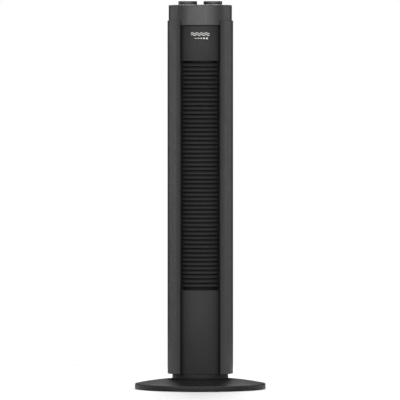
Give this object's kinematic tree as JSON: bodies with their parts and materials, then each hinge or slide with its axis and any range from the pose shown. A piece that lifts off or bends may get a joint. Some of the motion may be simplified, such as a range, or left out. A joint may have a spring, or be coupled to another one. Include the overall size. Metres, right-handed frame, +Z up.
{
  "type": "tower fan",
  "caption": "Slim oscillating tower fan: round base, short neck, tall dark shell with a recessed slatted outlet, rear intake, cross-flow wheel, two top dials and a push button.",
  "frame": {"origin": "on the floor under the swivel axis, at the centre of the round base", "axes": "+Z up, -Y towards the front with the slatted air outlet, +X to the right as seen from the front"},
  "size_m": [0.263, 0.263, 0.78],
  "materials": {
    "base_plastic": "satin black",
    "shell_plastic": "matte dark grey",
    "panel_plastic": "matte black",
    "knob_plastic": "satin dark grey",
    "inner_plastic": "matte black moulding",
    "wheel_plastic": "matte black",
    "nylon": "natural white",
    "switch_plastic": "off-white moulding",
    "wire_jacket": "smooth black jacket",
    "rubber": "matte black",
    "steel": "zinc plated",
    "motor_casing": "pressed zinc-plated sheet",
    "laminated_steel": "stacked laminations"
  },
  "bodies": {
    "base": {"base_shell": "base_plastic", "rubber_foot_1": "rubber", "rubber_foot_2": "rubber", "rubber_foot_3": "rubber", "rubber_foot_4": "rubber", "rubber_foot_5": "rubber", "rubber_foot_6": "rubber", "neck_collar": "base_plastic", "locking_nut": "inner_plastic", "glide_ring": "nylon", "link_post": "steel"},
    "tower": {"bearing_holder": "rubber", "cord_gland": "rubber", "tower_floor": "inner_plastic", "run_capacitor": "inner_plastic", "upper_baffle": "inner_plastic", "lower_baffle": "inner_plastic", "scroll_wall": "inner_plastic", "cutoff_wall": "inner_plastic", "control_bracket": "inner_plastic", "motor_lower_bush": "nylon", "motor_upper_bush": "nylon", "swivel_clip": "steel", "housing_screw_1": "steel", "housing_screw_2": "steel", "housing_screw_3": "steel", "housing_screw_4": "steel", "motor_bolt_1": "steel", "motor_bolt_2": "steel", "motor_bolt_3": "steel", "motor_bolt_4": "steel", "top_bush": "steel", "motor_mount": "steel", "oscillation_motor": "motor_casing", "motor_lower_bell": "motor_casing", "motor_upper_bell": "motor_casing", "motor_stator": "laminated_steel", "left_column": "shell_plastic", "right_column": "shell_plastic", "rear_housing": "shell_plastic", "rear_cover": "shell_plastic", "top_cap": "shell_plastic", "grip_pocket": "shell_plastic", "front_grille": "panel_plastic", "speed_switch": "switch_plastic", "timer_unit": "switch_plastic", "oscillation_switch": "switch_plastic", "wire_harness": "wire_jacket"},
    "wheel": {"impeller": "wheel_plastic", "impeller_hub": "wheel_plastic", "motor_shaft": "steel", "rotor_core": "laminated_steel", "top_axle": "steel"},
    "crank": {"crank_disc": "nylon"},
    "link": {"swing_link": "steel"},
    "speed_dial": {"speed_knob": "knob_plastic", "speed_shaft": "steel"},
    "timer_dial": {"timer_knob": "knob_plastic", "timer_shaft": "steel"},
    "button": {"oscillation_button": "knob_plastic"}
  },
  "joints": [
    {"name": "oscillation", "type": "hinge", "parent": "base", "child": "tower", "pos_m": [0, 0, 0.031], "axis": [0, 0, 1], "range_deg": [-35, 35]},
    {"name": "impeller_spin", "type": "hinge", "parent": "tower", "child": "wheel", "pos_m": [0, 0.008, 0.2], "axis": [0, 0, 1], "continuous": true},
    {"name": "crank_turn", "type": "hinge", "parent": "tower", "child": "crank", "pos_m": [-0.002, 0.032, 0.029], "axis": [0, 0, 1], "range_deg": [-43, 43]},
    {"name": "link_swing", "type": "hinge", "parent": "base", "child": "link", "pos_m": [-0.014, 0, 0.0253], "axis": [0, 0, 1], "range_deg": [-36, 36]},
    {"name": "speed_turn", "type": "hinge", "parent": "tower", "child": "speed_dial", "pos_m": [0.0252, -0.008, 0.772], "axis": [0, 0, -1], "range_deg": [0, 135]},
    {"name": "timer_turn", "type": "hinge", "parent": "tower", "child": "timer_dial", "pos_m": [-0.0252, -0.008, 0.772], "axis": [0, 0, -1], "range_deg": [0, 300]},
    {"name": "oscillation_press", "type": "slide", "parent": "tower", "child": "button", "axis": [0, 0, -1], "range_m": [0, 0.002], "stiffness_N_per_m": 300, "springref_m": -0.001}
  ],
  "couplings": [
    {"joint": "crank_turn", "follows": "oscillation", "ratio": -1.2},
    {"joint": "link_swing", "follows": "oscillation", "ratio": 1}
  ]
}
